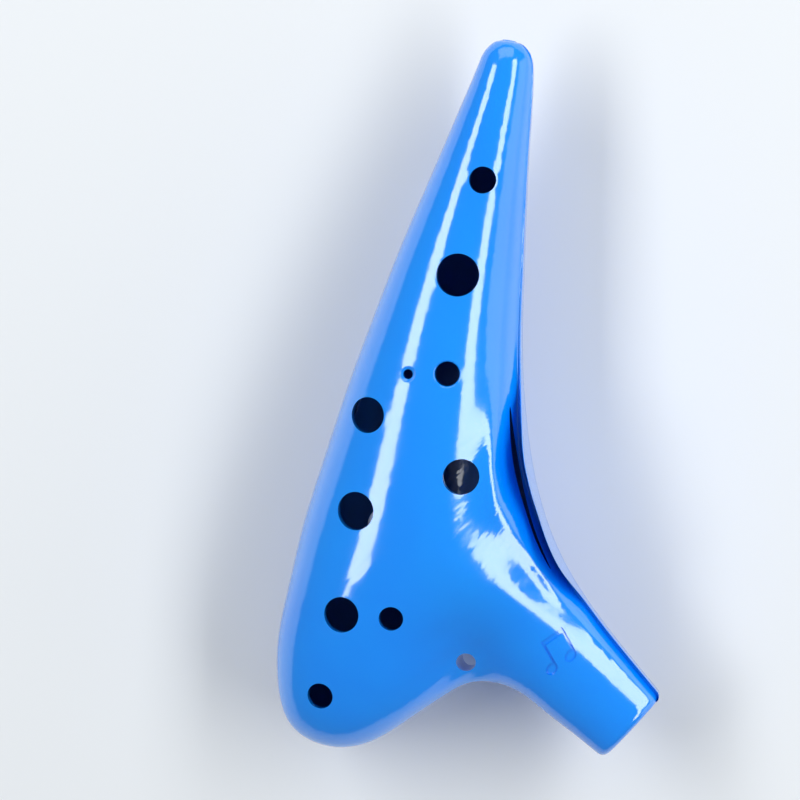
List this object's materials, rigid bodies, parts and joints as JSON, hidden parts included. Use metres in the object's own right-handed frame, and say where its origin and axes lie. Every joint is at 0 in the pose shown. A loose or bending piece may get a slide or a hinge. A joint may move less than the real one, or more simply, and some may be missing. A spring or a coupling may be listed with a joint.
{
  "type": "ocarina",
  "caption": "Glossy blue transverse wind instrument with a tapered round body, finger holes along the front, an angled flat-ended mouthpiece and a cord hole.",
  "frame": {"origin": "centre of the bounding box in plan, on the plane the instrument lies on", "axes": "+Z out of the finger-hole side, +X along the body to its narrow tail end, +Y away from the mouthpiece; the instrument lies on its back"},
  "size_m": [0.1736, 0.0922, 0.0442],
  "materials": {
    "front_shell": "gloss",
    "back_shell": "gloss",
    "windway_block": "gloss"
  },
  "bodies": {
    "root": {"front_shell": "front_shell", "back_shell": "back_shell", "windway_block": "windway_block"}
  },
  "joints": []
}
